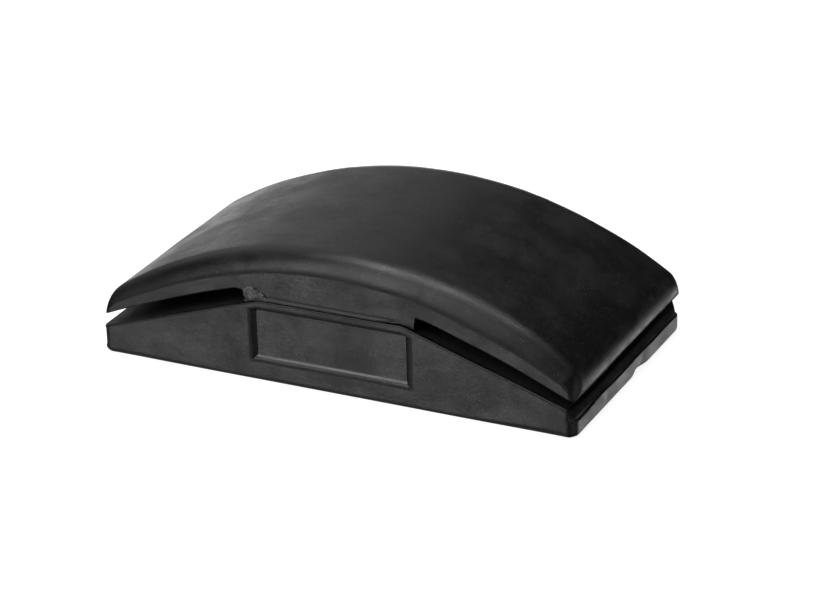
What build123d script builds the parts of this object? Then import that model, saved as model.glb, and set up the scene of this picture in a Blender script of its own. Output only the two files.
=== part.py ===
from build123d import *
import math
import os

# Hand sanding block of moulded black rubber. Millimetres. X runs along the block, Y across it,
# Z up from the flat sole; the origin is the centre of the sole.

# Driving dimensions
LENGTH = 127.0
WIDTH = 66.7
HEIGHT = 35.1
CORNER_RADIUS = 2.4
TRIM_MARGIN = 1.0

# Upper pad
TOP_RADIUS = 110.0
NOSE_RADIUS = 7.0
SHOULDER_WIDTH = 7.3
SHOULDER_DROP = 4.1
FLAP_TIP = (62.9, 9.9)
UNDERSIDE_MID = (44.8, 17.2)
UNDERSIDE_END = (25.2, 23.8)
ROOT_X = 22.5
ROOT_RADIUS = 1.4

# Lower block
SEAM_Z = 21.5
END_Z = 7.0
RAMP_SLOPE = 0.327
LIP_Z = 4.4
LIP_STEP = 0.5

# Recessed panel on each long side
PANEL_LENGTH = 43.6
PANEL_LOW_Z = 4.8
PANEL_HIGH_Z = 19.1
PANEL_DEPTH = 1.3
PANEL_BEVEL = 1.7

# Rubber neck between the fixed crown and each flap
NECK_END_X = 30.0

# Paper pins: nails moulded into each ramp, points up
PIN_X = 51.0
PIN_SPACING = 18.0
PIN_HEAD_Z = 2.5
PIN_HEAD_RADIUS = 2.1
PIN_HEAD_THICKNESS = 0.8
PIN_RADIUS = 0.9
PIN_SHOULDER_Z = 14.0
PIN_TIP_Z = 16.5
PIN_TIP_RADIUS = 0.12
POCKET_RADIUS = 2.0
POCKET_TOP_Z = 18.9

HALF_LENGTH = LENGTH / 2
HALF_WIDTH = WIDTH / 2
RAMP_TOP_X = HALF_LENGTH - (SEAM_Z - END_Z) / RAMP_SLOPE
ROOT_Z = END_Z + RAMP_SLOPE * (HALF_LENGTH - ROOT_X)
PANEL_TAPER = math.degrees(math.atan(PANEL_BEVEL / PANEL_DEPTH))
PANEL_MID_Z = (PANEL_LOW_Z + PANEL_HIGH_Z) / 2
PANEL_HEIGHT = PANEL_HIGH_Z - PANEL_LOW_Z
ROOT_TOP = (ROOT_X + ROOT_RADIUS, UNDERSIDE_END[1])
ROOT_SIDE = (ROOT_X, UNDERSIDE_END[1] - ROOT_RADIUS)
TOP_CENTRE_Z = HEIGHT - TOP_RADIUS
NOSE_X = HALF_LENGTH - NOSE_RADIUS
NOSE_Z = TOP_CENTRE_Z + math.sqrt((TOP_RADIUS - NOSE_RADIUS) ** 2 - NOSE_X**2)
NOSE_START_ANGLE = math.asin(NOSE_X / (TOP_RADIUS - NOSE_RADIUS))
NOSE_MID_ANGLE = (NOSE_START_ANGLE + math.pi / 2) / 2
PIN_YS = {"front": -PIN_SPACING, "middle": 0.0, "rear": PIN_SPACING}

os.makedirs("parts", exist_ok=True)


def top_point(angle):
    """A point on the top arc, with the angle measured from straight up."""
    return (TOP_RADIUS * math.sin(angle), TOP_CENTRE_Z + TOP_RADIUS * math.cos(angle))


def nose_point(angle):
    """A point on the right nose arc, with the angle measured from straight up."""
    return (NOSE_X + NOSE_RADIUS * math.sin(angle), NOSE_Z + NOSE_RADIUS * math.cos(angle))


def save(part, name):
    part.label = name
    export_step(part, f"parts/{name}.step")


# Plan outline: the rounded rectangle that every rubber piece is moulded within
with BuildPart() as plan_form:
    with BuildSketch(Plane.XY):
        RectangleRounded(LENGTH, WIDTH, CORNER_RADIUS)
    extrude(amount=HEIGHT + TRIM_MARGIN)

# Lower block: flat sole, stepped ends and two ramps that rise to the seam
with BuildPart() as lower_block:
    with BuildSketch(Plane.XZ):
        with BuildLine():
            Polyline(
                (0, 0),
                (HALF_LENGTH, 0),
                (HALF_LENGTH, LIP_Z),
                (HALF_LENGTH - LIP_STEP, LIP_Z + LIP_STEP),
                (HALF_LENGTH - LIP_STEP, END_Z + RAMP_SLOPE * LIP_STEP),
                (RAMP_TOP_X, SEAM_Z),
                (0, SEAM_Z),
                close=True,
            )
        make_face()
        mirror(about=Plane.YZ)
    extrude(amount=HALF_WIDTH, both=True)
    add(plan_form.part, mode=Mode.INTERSECT)
    # One bevelled rectangular recess in each long side
    for side in (-1, 1):
        panel_centre = (0, side * HALF_WIDTH, PANEL_MID_Z)
        with BuildSketch(Plane(origin=panel_centre, x_dir=(1, 0, 0), z_dir=(0, side, 0))):
            Rectangle(PANEL_LENGTH, PANEL_HEIGHT)
        extrude(amount=-PANEL_DEPTH, taper=PANEL_TAPER, mode=Mode.SUBTRACT)

# One paper pin on the Z axis: flat head, round shank and a point
with BuildPart() as pin_form:
    with BuildSketch(Plane.XZ):
        with BuildLine():
            Polyline(
                (0, PIN_HEAD_Z),
                (PIN_HEAD_RADIUS, PIN_HEAD_Z),
                (PIN_HEAD_RADIUS, PIN_HEAD_Z + PIN_HEAD_THICKNESS),
                (PIN_RADIUS, PIN_HEAD_Z + PIN_HEAD_THICKNESS),
                (PIN_RADIUS, PIN_SHOULDER_Z),
                (PIN_TIP_RADIUS, PIN_TIP_Z),
                (0, PIN_TIP_Z),
                close=True,
            )
        make_face()
    revolve(axis=Axis.Z)

pins = {}
for side_name, side in (("left", -1), ("right", 1)):
    for place, pin_y in PIN_YS.items():
        with BuildPart() as paper_pin:
            with Locations((side * PIN_X, pin_y, 0)):
                add(pin_form.part)
        pins[f"{side_name}_pin_{place}"] = paper_pin.part

# The pins are moulded into the lower block, so each one fills its own cavity
with BuildPart() as drilled_block:
    add(lower_block.part)
    for pin in pins.values():
        add(pin, mode=Mode.SUBTRACT)

# Upper pad: the whole arched form, later divided into crown, necks and flaps. An arched bar with
# rounded shoulders is turned about the centre of the top arc, then cut to the side outline.
with BuildPart() as pad_form:
    with BuildSketch(Plane.YZ):
        with BuildLine():
            Polyline((0, HEIGHT), (0, 0), (HALF_WIDTH, 0), (HALF_WIDTH, HEIGHT - SHOULDER_DROP))
            EllipticalCenterArc(
                (HALF_WIDTH - SHOULDER_WIDTH, HEIGHT - SHOULDER_DROP),
                x_radius=SHOULDER_WIDTH,
                y_radius=SHOULDER_DROP,
                start_angle=0,
                arc_size=90,
            )
            Line((HALF_WIDTH - SHOULDER_WIDTH, HEIGHT), (0, HEIGHT))
        make_face()
        mirror(about=Plane.YZ)
    revolve(axis=Axis((0, 0, TOP_CENTRE_Z), (0, 1, 0)))
    with BuildSketch(Plane.XZ):
        with BuildLine():
            ThreePointArc((0, HEIGHT), top_point(NOSE_START_ANGLE / 2), top_point(NOSE_START_ANGLE))
            ThreePointArc(
                nose_point(NOSE_START_ANGLE), nose_point(NOSE_MID_ANGLE), nose_point(math.pi / 2)
            )
            Line(nose_point(math.pi / 2), FLAP_TIP)
            ThreePointArc(FLAP_TIP, UNDERSIDE_MID, UNDERSIDE_END)
            Line(UNDERSIDE_END, ROOT_TOP)
            RadiusArc(ROOT_TOP, ROOT_SIDE, ROOT_RADIUS)
            Polyline(ROOT_SIDE, (ROOT_X, ROOT_Z), (RAMP_TOP_X, SEAM_Z), (0, SEAM_Z), (0, HEIGHT))
        make_face()
        mirror(about=Plane.YZ)
    extrude(amount=HALF_WIDTH, both=True, mode=Mode.INTERSECT)
    add(plan_form.part, mode=Mode.INTERSECT)

with BuildPart() as crown:
    add(pad_form.part)
    with Locations((0, 0, HEIGHT / 2)):
        Box(2 * ROOT_X, 2 * WIDTH, 2 * HEIGHT, mode=Mode.INTERSECT)

save(drilled_block.part, "lower_block")
save(crown.part, "crown")
for name, pin in pins.items():
    save(pin, name)

HANGING = (Align.CENTER, Align.CENTER, Align.MAX)
NECK_LENGTH = NECK_END_X - ROOT_X
FLAP_LENGTH = HALF_LENGTH - NECK_END_X
for side_name, side in (("left", -1), ("right", 1)):
    # Neck: the rubber that bends, from the slot root to the flap
    with BuildPart() as neck:
        add(pad_form.part)
        with Locations((side * (ROOT_X + NECK_LENGTH / 2), 0, HEIGHT / 2)):
            Box(NECK_LENGTH, 2 * WIDTH, 2 * HEIGHT, mode=Mode.INTERSECT)

    # Flap: the stiff outer part, with a blind pocket over each pin point
    with BuildPart() as flap:
        add(pad_form.part)
        with Locations((side * (NECK_END_X + FLAP_LENGTH / 2), 0, HEIGHT / 2)):
            Box(FLAP_LENGTH, 2 * WIDTH, 2 * HEIGHT, mode=Mode.INTERSECT)
        with Locations(*[(side * PIN_X, pin_y, POCKET_TOP_Z) for pin_y in PIN_YS.values()]):
            Cylinder(POCKET_RADIUS, POCKET_TOP_Z, align=HANGING, mode=Mode.SUBTRACT)

    save(neck.part, f"{side_name}_neck")
    save(flap.part, f"{side_name}_flap")
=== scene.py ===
import math

import bpy
import numpy as np
from mathutils import Matrix, Vector, noise


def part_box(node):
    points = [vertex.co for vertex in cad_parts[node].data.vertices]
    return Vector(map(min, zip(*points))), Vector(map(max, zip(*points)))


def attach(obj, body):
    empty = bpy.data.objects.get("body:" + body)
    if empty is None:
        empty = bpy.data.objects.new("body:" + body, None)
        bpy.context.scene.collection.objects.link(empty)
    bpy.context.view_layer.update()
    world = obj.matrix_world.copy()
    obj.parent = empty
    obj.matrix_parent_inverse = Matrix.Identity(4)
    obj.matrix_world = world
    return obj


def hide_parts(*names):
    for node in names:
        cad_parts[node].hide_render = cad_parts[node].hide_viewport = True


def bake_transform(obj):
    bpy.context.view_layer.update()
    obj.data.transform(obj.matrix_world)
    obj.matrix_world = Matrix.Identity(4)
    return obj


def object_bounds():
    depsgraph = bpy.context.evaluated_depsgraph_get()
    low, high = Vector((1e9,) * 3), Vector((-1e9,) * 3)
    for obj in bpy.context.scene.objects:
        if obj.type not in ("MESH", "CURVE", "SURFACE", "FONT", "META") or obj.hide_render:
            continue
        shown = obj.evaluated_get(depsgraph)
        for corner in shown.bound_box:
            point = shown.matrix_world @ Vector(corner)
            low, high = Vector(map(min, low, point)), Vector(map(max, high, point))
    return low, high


# Looks of a moulded rubber hand sanding block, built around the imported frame. The rubber is shaped in
# millimetres, and scaled to metres when its meshes are made.

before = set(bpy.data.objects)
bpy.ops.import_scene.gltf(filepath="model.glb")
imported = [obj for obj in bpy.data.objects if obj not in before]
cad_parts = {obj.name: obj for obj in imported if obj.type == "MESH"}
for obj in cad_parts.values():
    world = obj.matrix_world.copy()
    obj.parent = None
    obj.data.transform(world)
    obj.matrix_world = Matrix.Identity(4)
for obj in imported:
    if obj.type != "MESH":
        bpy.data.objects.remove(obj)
cad_low, cad_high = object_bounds()

MM = 0.001

# The vector noise takes its offsets from the clock unless it is given a seed
NOISE_SEED = 7
noise.seed_set(NOISE_SEED)

# Moulded rubber is never quite true: how far a point strays, in millimetres, how fast that changes from
# place to place, and the height where it reaches full strength, so that the sole stays flat
WARP = 0.09
WARP_PATTERN = 0.085
WARP_FULL_Z = 3.0

# Sizes read from the frame, in millimetres
HALF_LENGTH = cad_high.x / MM
HALF_WIDTH = cad_high.y / MM
HEIGHT = cad_high.z / MM
SEAM_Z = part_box("lower_block")[1].z / MM
ROOT_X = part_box("crown")[1].x / MM
TIP_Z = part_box("right_flap")[0].z / MM

# Shared outline, in millimetres
CORNER_RADIUS = 2.4
END_Z = 7.0
RAMP_SLOPE = 0.327
RAMP_FROM_X = 24.0
RAMP_TO_X = 60.0
SLOT_ROOF_Z = 23.9
PANEL_HALF_LENGTH = 21.8
PANEL_LOW_Z = 5.25
PANEL_LOW_SQUEEZE = 0.75
PANEL_HIGH_Z = 19.8
PANEL_TOP_SQUEEZE = 0.6

# Upper pad, in millimetres, with the shoulder's arcs as (radius, tilt in degrees where the arc ends)
TOP_RADIUS = 110.0
NOSE_RADIUS = 7.0
SHOULDER_ARCS = [(8.5, 20.0), (7.0, 57.0), (4.4, 76.0), (2.4, 90.0)]
TIP_X = 62.9
UNDERSIDE_MID = (44.8, 17.2)
UNDERSIDE_END = (25.2, 23.8)
ROOT_RADIUS = 1.4
ROOT_TOP_Z = UNDERSIDE_END[1]


# ---------------------------------------------------------------- camera

PHOTO_WIDTH = 820
FOCAL_PIXELS = 3112.0
CAMERA_AZIMUTH = 26.52
CAMERA_ELEVATION = 24.40
CAMERA_ROLL = -1.76
CAMERA_DISTANCE = 0.77347
CAMERA_OFFSET = (0.0044, 0.00995)
SENSOR_WIDTH = 36.0


def direction(azimuth, elevation):
    """The unit direction at an azimuth (0 is the front, 90 the right) and an elevation, in degrees."""
    a, e = math.radians(azimuth), math.radians(elevation)
    return math.sin(a) * math.cos(e), -math.cos(a) * math.cos(e), math.sin(e)


def make_camera():
    back = Vector(direction(CAMERA_AZIMUTH, CAMERA_ELEVATION))
    turn = math.radians(CAMERA_AZIMUTH)
    level_right = Vector((math.cos(turn), math.sin(turn), 0))
    level_up = back.cross(level_right)
    roll = math.radians(CAMERA_ROLL)
    right = level_right * math.cos(roll) + level_up * math.sin(roll)
    up = back.cross(right)
    data = bpy.data.cameras.new("camera")
    data.sensor_width = SENSOR_WIDTH
    data.lens = FOCAL_PIXELS / PHOTO_WIDTH * SENSOR_WIDTH
    camera = bpy.data.objects.new("camera", data)
    bpy.context.scene.collection.objects.link(camera)
    place = back * CAMERA_DISTANCE + right * CAMERA_OFFSET[0] + up * CAMERA_OFFSET[1]
    camera.matrix_world = Matrix.Translation(place) @ Matrix((right, up, back)).transposed().to_4x4()
    bpy.context.scene.camera = camera


# ---------------------------------------------------------------- mesh helpers

FACE_WEIGHT = 60


def lattice_object(name, columns, rows, stations, position):
    """A closed mesh over the surface of a box lattice.

    position(column, row, station) gives each corner, in millimetres.
    """
    index, points, faces = {}, [], []

    def vertex(corner):
        if corner not in index:
            index[corner] = len(points)
            points.append([c * MM for c in warped(position(*corner))])
        return index[corner]

    def face(*corners):
        faces.append([vertex(corner) for corner in corners])

    last, top, end = columns - 1, rows - 1, stations - 1
    for u in range(end):
        for i in range(last):
            face((i, 0, u), (i, 0, u + 1), (i + 1, 0, u + 1), (i + 1, 0, u))
            face((i, top, u), (i + 1, top, u), (i + 1, top, u + 1), (i, top, u + 1))
        for k in range(top):
            face((0, k, u), (0, k + 1, u), (0, k + 1, u + 1), (0, k, u + 1))
            face((last, k, u), (last, k, u + 1), (last, k + 1, u + 1), (last, k + 1, u))
    for i in range(last):
        for k in range(top):
            face((i, k, 0), (i + 1, k, 0), (i + 1, k + 1, 0), (i, k + 1, 0))
            face((i, k, end), (i, k + 1, end), (i + 1, k + 1, end), (i + 1, k, end))
    mesh = bpy.data.meshes.new(name)
    mesh.from_pydata(points, [], faces)
    # The corners above go round each face as seen from inside
    mesh.flip_normals()
    mesh.polygons.foreach_set("use_smooth", [True] * len(mesh.polygons))
    made = bpy.data.objects.new(name, mesh)
    bpy.context.scene.collection.objects.link(made)
    return made


def sharpen(obj, angle_degrees):
    """Marks the edges that turn by more than the angle as sharp, and weights the normals by face area."""
    mesh = obj.data
    limit = math.radians(angle_degrees)
    normals = {}
    for polygon in mesh.polygons:
        for key in polygon.edge_keys:
            normals.setdefault(key, []).append(polygon.normal.copy())
    for edge in mesh.edges:
        around = normals.get(tuple(sorted(edge.vertices)), [])
        edge.use_edge_sharp = len(around) == 2 and around[0].angle(around[1], 0) > limit
    weighted = obj.modifiers.new("face weights", "WEIGHTED_NORMAL")
    weighted.keep_sharp = True
    weighted.weight = FACE_WEIGHT


def warped(point):
    """Moves a point in millimetres by a few hundredths."""
    x, y, z = point
    shift = noise.noise_vector(Vector((x, y, z)) * WARP_PATTERN) * WARP
    grip = smoothstep(0.0, WARP_FULL_Z, z)
    return x + shift.x * grip, y + shift.y * grip, z + shift.z * grip


def slot_soot(place, facing):
    """How sooty a face is. facing is how squarely it looks into a slot, and the open ends stay cleaner."""
    turned = smoothstep(0.5, 0.8, facing)
    deep = smoothstep(0.6, 1.6, HALF_WIDTH - abs(place.y)) * smoothstep(0.5, 2.0, place.z)
    below_roof = 1 - smoothstep(SLOT_ROOF_Z, SLOT_ROOF_Z + 0.5, place.z)
    cleaner = 0.6 * smoothstep(50.0, 60.0, abs(place.x))
    return turned * deep * below_roof * (1 - cleaner)


def lower_block_soot(place, normal):
    """Soot on the slot floors and on the recessed face above the right end's lip."""
    above_lip = smoothstep(END_STEP_Z + 0.5, END_STEP_Z + 0.9, place.z) * smoothstep(55.0, 60.0, place.x)
    end_face = smoothstep(0.7, 0.9, normal.x) * above_lip
    return max(slot_soot(place, normal.z), end_face)


def painted_ledge_highlight(place, normal):
    """Painted highlight: how far the lower ledge of each side panel is lightened, in place of the highlight
    that the ledge catches.
    """
    inward = (place.z - PANEL_LOW_Z) / PANEL_LOW_SQUEEZE
    on_ledge = smoothstep(1.25, 1.5, inward) * (1 - smoothstep(1.86, 2.1, inward))
    along_ledge = 1 - smoothstep(PANEL_HALF_LENGTH - 1.9, PANEL_HALF_LENGTH - 1.4, abs(place.x))
    on_side = smoothstep(HALF_WIDTH - 1.3, HALF_WIDTH - 1.1, abs(place.y))
    return on_ledge * along_ledge * on_side


def pad_soot(place, normal):
    return slot_soot(place, -normal.z)


def none_there(place, normal):
    return 0.0


def store_places(obj, soot, dust_and_ledge_highlight=none_there):
    """Stores where each vertex rests, in millimetres, how sooty it is, and how much painted highlight it
    gets, for the material.
    """
    mesh = obj.data
    places, soots, ledge_highlights = [], [], []
    for vertex in mesh.vertices:
        place = vertex.co / MM
        places += list(place)
        soots.append(soot(place, vertex.normal))
        ledge_highlights.append(dust_and_ledge_highlight(place, vertex.normal))
    mesh.attributes.new("rest_mm", "FLOAT_VECTOR", "POINT").data.foreach_set("vector", places)
    mesh.attributes.new("inside", "FLOAT", "POINT").data.foreach_set("value", soots)
    mesh.attributes.new("painted_ledge_highlight", "FLOAT", "POINT").data.foreach_set("value", ledge_highlights)


def smoothstep(low, high, value):
    """0 up to low and 1 from high on, with a smooth rise between."""
    t = min(1.0, max(0.0, (value - low) / (high - low)))
    return t * t * (3 - 2 * t)


def corner_half_width(x):
    """Half of the plan outline's width at x, with its rounded corners."""
    beyond = min(abs(x) - (HALF_LENGTH - CORNER_RADIUS), CORNER_RADIUS)
    if beyond <= 0:
        return HALF_WIDTH
    return HALF_WIDTH - CORNER_RADIUS + math.sqrt(CORNER_RADIUS**2 - beyond**2)


def ramp_z(x):
    """Height of the lower block's top at x: the flat seam, then a ramp down to each end."""
    return min(SEAM_Z, END_Z + RAMP_SLOPE * (HALF_LENGTH - abs(x)))


def spread(low, high, count):
    """Evenly spaced numbers, both ends included."""
    return [float(v) for v in np.linspace(low, high, count)]


# ---------------------------------------------------------------- lower block

# Millimetres. The panel's profile is (distance in from the panel's edge, depth).
SOLE_EDGE = 1.4
SEAM_EDGE = 0.6
PANEL_PROFILE = [
    (-0.40, 0.0),
    (-0.10, 0.03),
    (0.25, 0.10),
    (0.60, 0.18),
    (0.90, 0.27),
    (1.05, 0.36),
    (1.20, 0.47),
    (1.35, 0.59),
    (1.52, 0.72),
    (1.70, 0.86),
    (1.86, 0.98),
    (2.05, 0.98),
    (2.50, 0.98),
]
END_STEP_Z = 4.35
END_STEP = 0.5
END_LEAN = 0.2
LEFT_STEP = 0.2
LEFT_LIP = 0.22
NICK = 0.6
LOWER_BLOCK_COLUMNS = 61
LOWER_BLOCK_CREASE_DEGREES = 28


def panel_depth(x, z):
    """Depth of the side panel's recess: a shallow bevel, then a steeper wall down to a flat floor."""
    from_low = (z - PANEL_LOW_Z) / PANEL_LOW_SQUEEZE
    from_high = (PANEL_HIGH_Z - z) / PANEL_TOP_SQUEEZE
    inward = min(PANEL_HALF_LENGTH - abs(x), from_low, from_high)
    return float(np.interp(inward, *zip(*PANEL_PROFILE)))


def end_setback(side, y, z):
    """How far the end face stands back at a height: a proud lip low down, then a face that leans in."""
    if side < 0:
        lip = LEFT_LIP * (1 - smoothstep(1.5, 1.9, z)) + LEFT_STEP * smoothstep(6.3, 6.8, z)
        return LEFT_STEP - lip
    wander = 0.45 * noise.noise(Vector((y * 0.09, 3.1, 0.0))) + 0.22 * smoothstep(-30, 0, y)
    edge = END_STEP_Z + wander
    lean = max(0.0, z - edge) * END_LEAN
    return END_STEP * smoothstep(edge - 0.05, edge + 0.18, z) + lean


def sole_nick(side, y, z):
    """How deep a small piece is torn from the right end's lower edge, steep on one side."""
    if side < 0:
        return 0.0
    bite = smoothstep(2.6, 4.3, y) * (1 - smoothstep(5.0, 13.0, y))
    low = 1 - smoothstep(0.2, 2.2, z)
    return NICK * bite * low


def make_lower_block():
    """The lower block as one closed skin, with mesh lines along its edges, panels and rounded corners."""
    corner_angles = spread(0, math.pi / 2, 11)
    half = sorted(
        {0.0}
        | set(spread(2.0, 18.5, 12))
        | {PANEL_HALF_LENGTH - line for line, _ in PANEL_PROFILE}
        | set(spread(RAMP_FROM_X, RAMP_TO_X + 0.6, 32))
        | {round(HALF_LENGTH - CORNER_RADIUS * (1 - math.sin(a)), 4) for a in corner_angles}
    )
    stations = [-x for x in reversed(half[1:])] + half

    arc = spread(0, math.pi / 2, 7)
    low_panel = [PANEL_LOW_Z + line * PANEL_LOW_SQUEEZE for line, _ in PANEL_PROFILE]
    high_panel = [PANEL_HIGH_Z - line * PANEL_TOP_SQUEEZE for line, _ in reversed(PANEL_PROFILE)]
    rows = [SOLE_EDGE * (1 - math.cos(a)) for a in arc] + spread(1.8, 3.7, 4)
    rows += low_panel + spread(8.4, 15.6, 7) + high_panel
    rows += [20.6] + [SEAM_Z - SEAM_EDGE * (1 - math.sin(a)) for a in arc]

    # The same rows crowd together where the block is low, with the panel's rows about the end's step
    known = [0, SOLE_EDGE, low_panel[0], low_panel[-1], high_panel[0], SEAM_Z - SEAM_EDGE, SEAM_Z]
    at_end = [0, SOLE_EDGE, 3.75, 5.1, 5.5, END_Z - SEAM_EDGE, END_Z]
    end_rows = [float(v) for v in np.interp(rows, known, at_end)]

    def edge_inset(k):
        """How far row k stands in from the side, for the rounded lower and upper edges."""
        z = rows[k]
        if z < SOLE_EDGE:
            return SOLE_EDGE - math.sqrt(SOLE_EDGE**2 - (SOLE_EDGE - z) ** 2)
        over = z - (SEAM_Z - SEAM_EDGE)
        return SEAM_EDGE - math.sqrt(max(0.0, SEAM_EDGE**2 - over**2)) if over > 0 else 0.0

    columns = spread(-1, 1, LOWER_BLOCK_COLUMNS)

    def position(i, k, u):
        x = stations[u]
        far = smoothstep(RAMP_FROM_X, RAMP_TO_X, abs(x))
        plain_z = rows[k] * (1 - far) + end_rows[k] * far
        plain_top = SEAM_Z * (1 - far) + END_Z * far
        z = plain_z * ramp_z(x) / plain_top if k > 0 else 0.0
        y = columns[i] * (corner_half_width(x) - edge_inset(k) - panel_depth(x, rows[k]))
        side = 1 if x > 0 else -1
        facing_end = smoothstep(HALF_LENGTH - CORNER_RADIUS, HALF_LENGTH - 0.3, abs(x))
        nick = sole_nick(side, y, z)
        x -= side * facing_end * (end_setback(side, y, z) + nick + edge_inset(k) * 0.8)
        return x, y, z + nick * facing_end

    made = lattice_object("rubber_lower_block", len(columns), len(rows), len(stations), position)
    sharpen(made, LOWER_BLOCK_CREASE_DEGREES)
    # The third function gives the panel ledges their painted highlight
    store_places(made, lower_block_soot, painted_ledge_highlight)
    return made


# ---------------------------------------------------------------- upper pad

# Edges, in millimetres: how far the lower edge is rounded, more at the seam and most by the right root
UNDER_EDGE = 0.35
SEAM_GROOVE = 0.65
ROOT_WEDGE = 1.2
SEAM_LIP = 0.45
SEAM_LIP_Z = 0.5
SEAM_LIP_SPREAD = 0.58
TIP_GAP = 0.35
PAD_CREASE_DEGREES = 32

# The moulding isn't quite symmetrical: its top stands to the right, and its tips are tilted
TOP_LEAN = 1.35
TOP_RISE = 0.25
TIP_SHIFT = 0.5
TIP_TILT = 0.42
NOSE_WANDER = 0.5

POCKET_RADIUS = 2.0
POCKET_TOP_Z = 18.9
POCKET_CUTTER_DEPTH = 18.0

PAD_COLUMNS = 49
SIDE_ROWS = 14


def circle_through(a, b, c):
    """The circle through three points: its centre's two coordinates and its radius."""
    (ax, az), (bx, bz), (cx, cz) = a, b, c
    d = 2 * (ax * (bz - cz) + bx * (cz - az) + cx * (az - bz))
    a2, b2, c2 = ax * ax + az * az, bx * bx + bz * bz, cx * cx + cz * cz
    ux = (a2 * (bz - cz) + b2 * (cz - az) + c2 * (az - bz)) / d
    uz = (a2 * (cx - bx) + b2 * (ax - cx) + c2 * (bx - ax)) / d
    return ux, uz, math.hypot(ax - ux, az - uz)


def outer_path():
    """The pad's outline from the crown's middle over the nose and down to the tip."""
    nose_x = HALF_LENGTH - NOSE_RADIUS
    nose_z = HEIGHT - TOP_RADIUS + math.sqrt((TOP_RADIUS - NOSE_RADIUS) ** 2 - nose_x**2)
    turn = math.asin(nose_x / (TOP_RADIUS - NOSE_RADIUS))
    path = [
        (TOP_RADIUS * math.sin(a), HEIGHT - TOP_RADIUS + TOP_RADIUS * math.cos(a))
        for a in spread(0, turn, 300)
    ]
    path += [
        (nose_x + NOSE_RADIUS * math.sin(a), nose_z + NOSE_RADIUS * math.cos(a))
        for a in spread(turn, math.pi / 2, 120)[1:]
    ]
    return path + [(TIP_X, TIP_Z)]


def inner_path():
    """The pad's lower outline: seam, root wall, root fillet and the flap's hollow underside."""
    ramp_start_x = HALF_LENGTH - (SEAM_Z - END_Z) / RAMP_SLOPE
    path = [(0.0, SEAM_Z), (ramp_start_x, SEAM_Z), (ROOT_X, ramp_z(ROOT_X))]
    corner_x, corner_z = ROOT_X + ROOT_RADIUS, ROOT_TOP_Z - ROOT_RADIUS
    path += [
        (corner_x - ROOT_RADIUS * math.cos(a), corner_z + ROOT_RADIUS * math.sin(a))
        for a in spread(0, math.pi / 2, 12)
    ]
    tip = (TIP_X, TIP_Z)
    cx, cz, radius = circle_through(UNDERSIDE_END, UNDERSIDE_MID, tip)
    first = math.atan2(UNDERSIDE_END[1] - cz, UNDERSIDE_END[0] - cx)
    last = math.atan2(tip[1] - cz, tip[0] - cx)
    return path + [(cx + radius * math.cos(a), cz + radius * math.sin(a)) for a in spread(first, last, 200)]


def along(path, start, end, shares):
    """Points at shares of the way from start to end, two arc lengths of the path."""
    points = np.array(path)
    steps = np.hypot(*np.diff(points, axis=0).T)
    length = np.concatenate([[0], np.cumsum(steps)])
    at = start + (end - start) * np.array(shares)
    return list(zip(np.interp(at, length, points[:, 0]), np.interp(at, length, points[:, 1])))


def length_at(path, x_wanted):
    """Arc length of the path where it first reaches x."""
    total = 0.0
    for before, after in zip(path, path[1:]):
        step = math.dist(before, after)
        if after[0] >= x_wanted - 1e-9:
            run = after[0] - before[0]
            share = 1.0 if run < 1e-9 else (x_wanted - before[0]) / run
            return total + step * min(1.0, max(0.0, share))
        total += step
    return total


def whole_length(path):
    return sum(math.dist(before, after) for before, after in zip(path, path[1:]))


def shoulder_profile(steps=6):
    """The rounded shoulder from the side wall up to the top: (inset, height) above the shoulder's foot."""
    points, tilt = [(0.0, 0.0)], 0.0
    for radius, end_degrees in SHOULDER_ARCS:
        end = math.radians(end_degrees)
        for n in range(1, steps + 1):
            before = tilt + (end - tilt) * (n - 1) / steps
            after = tilt + (end - tilt) * n / steps
            across = radius * (math.sin(after) - math.sin(before))
            down = radius * (math.cos(before) - math.cos(after))
            points.append((points[-1][0] + across, points[-1][1] + down))
        tilt = end
    width, drop = points[-1]
    return [(width - across, drop - down) for across, down in reversed(points)]


def pad_stations():
    """Matching points of the pad's lower and upper outlines, from the crown's middle out to the tip."""
    outer, inner = outer_path(), inner_path()
    corner = length_at(inner, ROOT_X)
    wall_top = corner + (ROOT_TOP_Z - ROOT_RADIUS - ramp_z(ROOT_X))
    fillet_end = wall_top + ROOT_RADIUS * math.pi / 2
    over_corner, over_wall, over_fillet = (length_at(outer, ROOT_X + past) for past in (-0.6, 0.8, 2.2))
    inner_tip, outer_tip = whole_length(inner) - TIP_GAP, whole_length(outer) - TIP_GAP
    closer_at_tip = [math.sin(s * math.pi / 2) ** 1.15 for s in spread(0, 1, 72)[1:]]
    legs = [
        (0.0, corner, 0.0, over_corner, spread(0, 1, 26)),
        (corner, wall_top, over_corner, over_wall, spread(0, 1, 5)[1:]),
        (wall_top, fillet_end, over_wall, over_fillet, spread(0, 1, 7)[1:]),
        (fillet_end, inner_tip, over_fillet, outer_tip, closer_at_tip),
    ]
    below, above = [], []
    for inner_start, inner_end, outer_start, outer_end, shares in legs:
        below += along(inner, inner_start, inner_end, shares)
        above += along(outer, outer_start, outer_end, shares)
    return below, above


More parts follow.
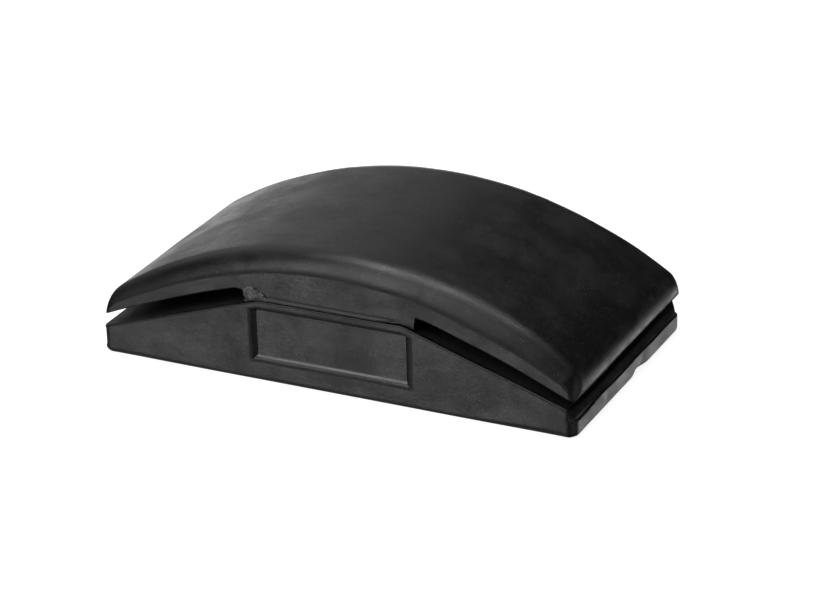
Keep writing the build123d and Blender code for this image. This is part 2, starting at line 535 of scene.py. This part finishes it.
def make_pad_half(name, side):
    """Half of the upper pad, from the crown's middle out to one flap's tip, as one closed skin."""
    below, above = pad_stations()
    shoulder = shoulder_profile()
    drop = shoulder[-1][1]
    rows = (
        [("under", a) for a in spread(0, math.pi / 2, 6)]
        + [("side", (n / SIDE_ROWS) ** 1.7) for n in range(1, SIDE_ROWS)]
        + [("shoulder", point) for point in shoulder]
    )
    columns = spread(-1, 1, PAD_COLUMNS)

    def position(i, k, u):
        (bx, bz), (tx, tz) = below[u], above[u]
        thickness = math.hypot(tx - bx, tz - bz)
        scale = min(1 - 0.4 * smoothstep(56.5, 63.0, tx), thickness * 0.62 / drop)
        seam = 1 - smoothstep(18.0, 24.0, bx)
        wedge = 0.0
        if side > 0:
            wedge = ROOT_WEDGE * smoothstep(12.0, 21.5, bx) * (1 - smoothstep(22.3, 24.5, bx))
        rounded = UNDER_EDGE + (SEAM_GROOVE - UNDER_EDGE) * seam + wedge
        edge = min(rounded, thickness * 0.25)
        kind, value = rows[k]
        inset = 0.0
        if kind == "under":
            height, inset = edge * (1 - math.cos(value)), edge * (1 - math.sin(value))
        elif kind == "side":
            height = edge + (thickness - drop * scale - edge) * value
        else:
            height, inset = thickness - (drop - value[1]) * scale, value[0] * scale
        share = height / thickness
        x, z = bx + (tx - bx) * share, bz + (tz - bz) * share
        lip = 0.0
        if height > 0.1:
            lip = SEAM_LIP * seam * math.exp(-(((height - SEAM_LIP_Z) / SEAM_LIP_SPREAD) ** 2))
        y = columns[i] * (HALF_WIDTH - inset + lip) * corner_half_width(x) / HALF_WIDTH
        aloft = smoothstep(10.0, 24.0, z) * share
        far = smoothstep(35.0, 60.0, bx) * (1 - aloft)
        ragged = NOSE_WANDER * noise.noise(Vector((y * 0.17, 5.3, 0.0))) if side > 0 else 0.0
        x = side * x + TOP_LEAN * aloft + TIP_SHIFT * far
        z += TOP_RISE * aloft + (ragged - TIP_TILT * side) * far * (1 - share)
        return x, y * side, z

    made = lattice_object(name, len(columns), len(rows), len(below), position)
    cut_pin_pockets(made, side)
    sharpen(made, PAD_CREASE_DEGREES)
    store_places(made, pad_soot)
    return made


def cut_pin_pockets(obj, side):
    """Cuts the blind pockets that clear the pin points, with the boolean applied to the mesh."""
    side_name = "left" if side < 0 else "right"
    cutters = []
    for place in ("front", "middle", "rear"):
        pin = f"{side_name}_pin_{place}"
        low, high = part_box(pin)
        centre = (low + high) / 2
        middle_z = (POCKET_TOP_Z - POCKET_CUTTER_DEPTH / 2) * MM
        bpy.ops.mesh.primitive_cylinder_add(
            vertices=40,
            radius=POCKET_RADIUS * MM,
            depth=POCKET_CUTTER_DEPTH * MM,
            location=(centre.x, centre.y, middle_z),
        )
        cutters.append(bpy.context.object)
        cut = obj.modifiers.new(pin, "BOOLEAN")
        cut.solver = "EXACT"
        cut.object = cutters[-1]
    whole = obj.evaluated_get(bpy.context.evaluated_depsgraph_get())
    obj.data = bpy.data.meshes.new_from_object(whole)
    obj.modifiers.clear()
    for cutter in cutters:
        bpy.data.objects.remove(cutter)


# ---------------------------------------------------------------- torn flash at the left slot's root

# Millimetres
FLASH_START_X = -22.7
FLASH_LENGTH = 7.4
FLASH_Z = 21.9
FLASH_RISE = 1.5
FLASH_PROUD = 0.05
FLASH_SECTIONS = 34
FLASH_LINES = 13


def make_torn_flash():
    """A crumpled scrap of moulding flash at the near corner of the left slot, thick at its left end."""

    def position(i, k, u):
        t = u / (FLASH_SECTIONS - 1)
        a, b = 2 * i / (FLASH_LINES - 1) - 1, 2 * k / (FLASH_LINES - 1) - 1
        round_a, round_b = a * math.sqrt(1 - b * b / 2), b * math.sqrt(1 - a * a / 2)
        blunt = math.sqrt(max(0.0, 1 - abs(2 * t - 1) ** 6)) + 0.02
        tall = (0.35 + 1.35 * (1 - t * t)) * blunt
        deep = (0.45 + 0.45 * (1 - t)) * blunt
        x = FLASH_START_X + FLASH_LENGTH * t
        y = -HALF_WIDTH + FLASH_PROUD + deep * round_a
        z = FLASH_Z + FLASH_RISE * (1 - t**1.6) + tall * round_b
        place = Vector((x, y, z))
        crumple = noise.noise_vector(place * 0.9) * 0.45 + noise.noise_vector(place * 2.2) * 0.2
        return x + crumple.x, y + crumple.y * 0.7, z + crumple.z

    made = lattice_object("torn_flash", FLASH_LINES, FLASH_LINES, FLASH_SECTIONS, position)
    store_places(made, none_there)
    return made


# ---------------------------------------------------------------- materials

# Rubber colours are (dark, light), between which the cloudy bloom goes
CLEAN_RUBBER = ((0.003, 0.003, 0.0033, 1), (0.0075, 0.0075, 0.0075, 1))
TORN_RUBBER = ((0.03, 0.032, 0.034, 1), (0.19, 0.195, 0.20, 1))
SPECK = (0.045, 0.043, 0.041, 1)
# Light grey painted on the side panels' lower ledges: a painted highlight that stands in for the light they
# catch
LEDGE_HIGHLIGHT_PAINT = (0.24, 0.24, 0.25, 1)
SCUFF = (0.034, 0.034, 0.030, 1)
BARE_STEEL = (0.20, 0.20, 0.21, 1)
OXIDE = (0.06, 0.045, 0.035, 1)

# Heights of the bumps, in metres
GRAIN_HEIGHT = 0.00006
STREAK_HEIGHT = 0.00012


def noise_node(tree, place, scale, detail, roughness=0.5, stretch=None):
    """A noise texture's value, over places in millimetres; stretch squeezes the pattern along each axis."""
    if stretch:
        squeezed = tree.nodes.new("ShaderNodeVectorMath")
        squeezed.operation = "MULTIPLY"
        squeezed.inputs[1].default_value = stretch
        tree.links.new(place, squeezed.inputs[0])
        place = squeezed.outputs[0]
    texture = tree.nodes.new("ShaderNodeTexNoise")
    texture.inputs["Scale"].default_value = scale
    texture.inputs["Detail"].default_value = detail
    texture.inputs["Roughness"].default_value = roughness
    tree.links.new(place, texture.inputs["Vector"])
    return texture.outputs["Fac"]


def ramp_node(tree, value, low, high, to_low, to_high):
    """Maps a value from low..high to to_low..to_high, smoothly and clamped."""
    ramp = tree.nodes.new("ShaderNodeMapRange")
    ramp.interpolation_type = "SMOOTHSTEP"
    ramp.inputs["From Min"].default_value = low
    ramp.inputs["From Max"].default_value = high
    ramp.inputs["To Min"].default_value = to_low
    ramp.inputs["To Max"].default_value = to_high
    tree.links.new(value, ramp.inputs["Value"])
    return ramp.outputs["Result"]


def math_node(tree, operation, a, b):
    """A sum or product of a socket with a number or another socket."""
    node = tree.nodes.new("ShaderNodeMath")
    node.operation = operation
    tree.links.new(a, node.inputs[0])
    if isinstance(b, float):
        node.inputs[1].default_value = b
    else:
        tree.links.new(b, node.inputs[1])
    return node.outputs[0]


def mix_colour(tree, share, low, high):
    """Mixes two colours, either of which may be a socket, by a share."""
    mix = tree.nodes.new("ShaderNodeMix")
    mix.data_type = "RGBA"
    tree.links.new(share, mix.inputs["Factor"])
    for name, colour in (("A", low), ("B", high)):
        socket = next(s for s in mix.inputs if s.name == name and s.type == "RGBA")
        if isinstance(colour, tuple):
            socket.default_value = colour
        else:
            tree.links.new(colour, socket)
    return next(s for s in mix.outputs if s.type == "RGBA")


def attribute_node(tree, name):
    """Reads one of the values that store_places keeps on the mesh."""
    attribute = tree.nodes.new("ShaderNodeAttribute")
    attribute.attribute_name = name
    return attribute


def bump_node(tree, height, strength, distance, under=None):
    """The normal of a bumpy surface, laid over another one's normal if there is one."""
    bump = tree.nodes.new("ShaderNodeBump")
    bump.inputs["Strength"].default_value = strength
    bump.inputs["Distance"].default_value = distance
    tree.links.new(height, bump.inputs["Height"])
    if under is not None:
        tree.links.new(under, bump.inputs["Normal"])
    return bump.outputs["Normal"]


def rubber_material(name, dark, light):
    """Rubber with bloom, grain and dust, a painted highlight on the panels' lower ledges, a scuffed right
    end, and matt soot in the slots.
    """
    material = bpy.data.materials.new(name)
    material.use_nodes = True
    tree = material.node_tree
    shader = tree.nodes["Principled BSDF"]
    place = attribute_node(tree, "rest_mm").outputs["Vector"]
    soot = attribute_node(tree, "inside").outputs["Fac"]
    ledge = attribute_node(tree, "painted_ledge_highlight").outputs["Fac"]

    clouds = noise_node(tree, place, 0.09, 5.0, 0.6)
    streaks = noise_node(tree, place, 0.35, 3.0, 0.55, stretch=(0.4, 1.0, 1.0))
    grain = noise_node(tree, place, 2.6, 3.0, 0.65)
    dust_and_ledge_highlight = noise_node(tree, place, 1.8, 1.5)
    dusty_area = noise_node(tree, place, 0.16, 3.0, 0.6)
    rubbed_area = noise_node(tree, place, 0.16, 3.0, 0.7)

    bloom = ramp_node(tree, clouds, 0.40, 0.66, 0.0, 1.0)
    base = mix_colour(tree, bloom, dark, light)

    dots = ramp_node(tree, dust_and_ledge_highlight, 0.62, 0.74, 0.0, 1.0)
    where_dusty = ramp_node(tree, dusty_area, 0.42, 0.60, 0.15, 1.0)
    specks = math_node(tree, "MULTIPLY", dots, where_dusty)
    speckled = mix_colour(tree, specks, base, SPECK)

    patchy = ramp_node(tree, clouds, 0.3, 0.6, 0.5, 1.0)
    # The panels' lower ledges get a painted highlight
    ledge_highlighted = mix_colour(tree, math_node(tree, "MULTIPLY", ledge, patchy), speckled, LEDGE_HIGHLIGHT_PAINT)

    split = tree.nodes.new("ShaderNodeSeparateXYZ")
    tree.links.new(place, split.inputs[0])
    at_nose = ramp_node(tree, split.outputs["X"], 61.6, 63.2, 0.0, 1.0)
    rubbed = ramp_node(tree, rubbed_area, 0.42, 0.72, 0.0, 1.0)
    scuffs = math_node(tree, "MULTIPLY", at_nose, rubbed)
    scuffed = mix_colour(tree, scuffs, ledge_highlighted, SCUFF)
    tree.links.new(scuffed, shader.inputs["Base Color"])

    cloudy = ramp_node(tree, clouds, 0.35, 0.68, 0.36, 0.46)
    grainy = ramp_node(tree, grain, 0.30, 0.70, -0.055, 0.055)
    streaky = ramp_node(tree, streaks, 0.35, 0.65, -0.012, 0.012)
    outside = math_node(tree, "ADD", math_node(tree, "ADD", cloudy, grainy), streaky)
    sooty = math_node(tree, "MULTIPLY", soot, 0.55)
    matt = math_node(tree, "ADD", sooty, math_node(tree, "MULTIPLY", scuffs, 0.12))
    tree.links.new(math_node(tree, "ADD", outside, matt), shader.inputs["Roughness"])

    fine = bump_node(tree, grain, 0.5, GRAIN_HEIGHT)
    broad = bump_node(tree, streaks, 0.3, STREAK_HEIGHT, under=fine)
    tree.links.new(broad, shader.inputs["Normal"])
    return material


def steel_material():
    """Dark, oily pin steel with patches of oxide."""
    material = bpy.data.materials.new("oxidised pin steel")
    material.use_nodes = True
    tree = material.node_tree
    shader = tree.nodes["Principled BSDF"]
    place = tree.nodes.new("ShaderNodeTexCoord").outputs["Object"]
    patches = noise_node(tree, place, 900.0, 4.0, 0.6)
    drawn = noise_node(tree, place, 2500.0, 2.0, 0.5, stretch=(1.0, 1.0, 0.08))
    oxide = ramp_node(tree, patches, 0.42, 0.62, 0.0, 1.0)
    colour = mix_colour(tree, oxide, BARE_STEEL, OXIDE)
    tree.links.new(colour, shader.inputs["Base Color"])
    worn = ramp_node(tree, patches, 0.35, 0.65, 0.30, 0.52)
    lines = ramp_node(tree, drawn, 0.35, 0.65, -0.06, 0.06)
    tree.links.new(math_node(tree, "ADD", worn, lines), shader.inputs["Roughness"])
    shader.inputs["Metallic"].default_value = 1.0
    return material


def assign(obj, material):
    obj.data.materials.clear()
    obj.data.materials.append(material)


# ---------------------------------------------------------------- stage

# Metres: the floor is flat out to STUDIO_FLAT, then bends up into the wall
STUDIO_FLAT = 1.6
STUDIO_RADIUS = 2.5
STUDIO_WALL = 1.6
STUDIO_SIDES = 96
STUDIO_BEND_RINGS = 24

# Soft round glows about the object: azimuth, elevation and radius in degrees, then brightness. Those below
# the horizon stand in for the light that a pale table throws back.
GLOWS = {
    "overhead key": (-126, 74, 12, 9.5),
    "overhead rear": (168, 72, 13, 6.2),
    "overhead front": (-20, 63, 21, 2.7),
    "front left softbox": (-30, 35, 25, 3.0),
    "front horizon": (-28, 1, 12, 0.4),
    "rear left wall": (-138, 28, 27, 0.55),
    "rear left horizon": (-153, -11, 16, 2.6),
    "table in front": (-27, -21, 13, 4.6),
    "table behind": (154, -27, 15, 2.5),
    "table at left": (-83, -48, 36, 0.4),
    "table at right": (62, -22, 20, 0.7),
    "front fill": (5, -5, 13, 0.9),
    "right fill": (92, -5, 18, 1.0),
}
AMBIENT = 0.03
# The part of a glow's radius that is at full brightness
GLOW_CORE = 0.35


def make_studio():
    """A pale floor that curves up into a wall far away. Reflections look past it, to the glows."""
    profile = [(radius, 0.0) for radius in (0.0, 0.1, 0.25, 0.5, 1.0, STUDIO_FLAT)]
    bend = STUDIO_RADIUS - STUDIO_FLAT
    profile += [
        (STUDIO_FLAT + bend * math.sin(a), bend * (1 - math.cos(a)))
        for a in spread(0, math.pi / 2, STUDIO_BEND_RINGS)[1:]
    ]
    profile.append((STUDIO_RADIUS, STUDIO_WALL + bend))
    points = [(0.0, 0.0, 0.0)]
    for radius, z in profile[1:]:
        for n in range(STUDIO_SIDES):
            turn = 2 * math.pi * n / STUDIO_SIDES
            points.append((radius * math.cos(turn), radius * math.sin(turn), z))
    faces = [(0, 1 + n, 1 + (n + 1) % STUDIO_SIDES) for n in range(STUDIO_SIDES)]
    for ring in range(len(profile) - 2):
        inner = 1 + ring * STUDIO_SIDES
        outer = inner + STUDIO_SIDES
        for n in range(STUDIO_SIDES):
            m = (n + 1) % STUDIO_SIDES
            faces.append((inner + n, outer + n, outer + m, inner + m))
    mesh = bpy.data.meshes.new("studio")
    mesh.from_pydata(points, [], faces)
    mesh.polygons.foreach_set("use_smooth", [True] * len(mesh.polygons))
    studio = bpy.data.objects.new("studio", mesh)
    bpy.context.scene.collection.objects.link(studio)
    material = bpy.data.materials.new("pale paper")
    material.use_nodes = True
    shader = material.node_tree.nodes["Principled BSDF"]
    shader.inputs["Base Color"].default_value = (0.4, 0.4, 0.4, 1)
    shader.inputs["Roughness"].default_value = 1.0
    shader.inputs["Specular IOR Level"].default_value = 0.0
    shader.inputs["Emission Color"].default_value = (1, 1, 1, 1)
    shader.inputs["Emission Strength"].default_value = 0.9
    assign(studio, material)
    studio.visible_glossy = False
    studio.visible_diffuse = False
    studio.visible_shadow = False


def make_light():
    """World light: a dim surround plus the glows."""
    world = bpy.data.worlds.new("studio light")
    world.use_nodes = True
    nodes, links = world.node_tree.nodes, world.node_tree.links
    toward = nodes.new("ShaderNodeTexCoord").outputs["Generated"]
    total = None
    for name, (azimuth, elevation, radius, strength) in GLOWS.items():
        facing = nodes.new("ShaderNodeVectorMath")
        facing.label = name
        facing.operation = "DOT_PRODUCT"
        facing.inputs[1].default_value = direction(azimuth, elevation)
        links.new(toward, facing.inputs[0])
        fade = nodes.new("ShaderNodeMapRange")
        fade.interpolation_type = "SMOOTHSTEP"
        fade.inputs["From Min"].default_value = math.cos(math.radians(radius))
        fade.inputs["From Max"].default_value = math.cos(math.radians(radius * GLOW_CORE))
        fade.inputs["To Max"].default_value = strength
        links.new(facing.outputs["Value"], fade.inputs["Value"])
        # The first glow is added to the ambient light, and each later one to the total so far
        add = nodes.new("ShaderNodeMath")
        add.inputs[1].default_value = AMBIENT
        links.new(fade.outputs["Result"], add.inputs[0])
        if total is not None:
            links.new(total, add.inputs[1])
        total = add.outputs[0]
    links.new(total, nodes["Background"].inputs["Strength"])
    nodes["Background"].inputs["Color"].default_value = (1, 1, 1, 1)
    bpy.context.scene.world = world


# ---------------------------------------------------------------- assembly

make_camera()
make_studio()
make_light()

rubber = rubber_material("moulded black rubber", *CLEAN_RUBBER)
torn_rubber = rubber_material("torn rubber", *TORN_RUBBER)
steel = steel_material()

lower_block = make_lower_block()
assign(lower_block, rubber)
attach(lower_block, "block")
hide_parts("lower_block")

torn_flash = make_torn_flash()
assign(torn_flash, torn_rubber)
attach(torn_flash, "block")

# Each half of the pad is built, given the rubber and set in place, and the frame's crown, neck and flap
# that it replaces are hidden
for side_name, side in (("left", -1), ("right", 1)):
    flap = f"{side_name}_flap"
    half = make_pad_half(f"rubber_pad_{side_name}", side)
    assign(half, rubber)
    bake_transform(half)
    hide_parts("crown", f"{side_name}_neck", flap)

for name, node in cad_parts.items():
    if "_pin_" in name:
        assign(node, steel)

scene = bpy.context.scene
scene.view_settings.view_transform = "Standard"
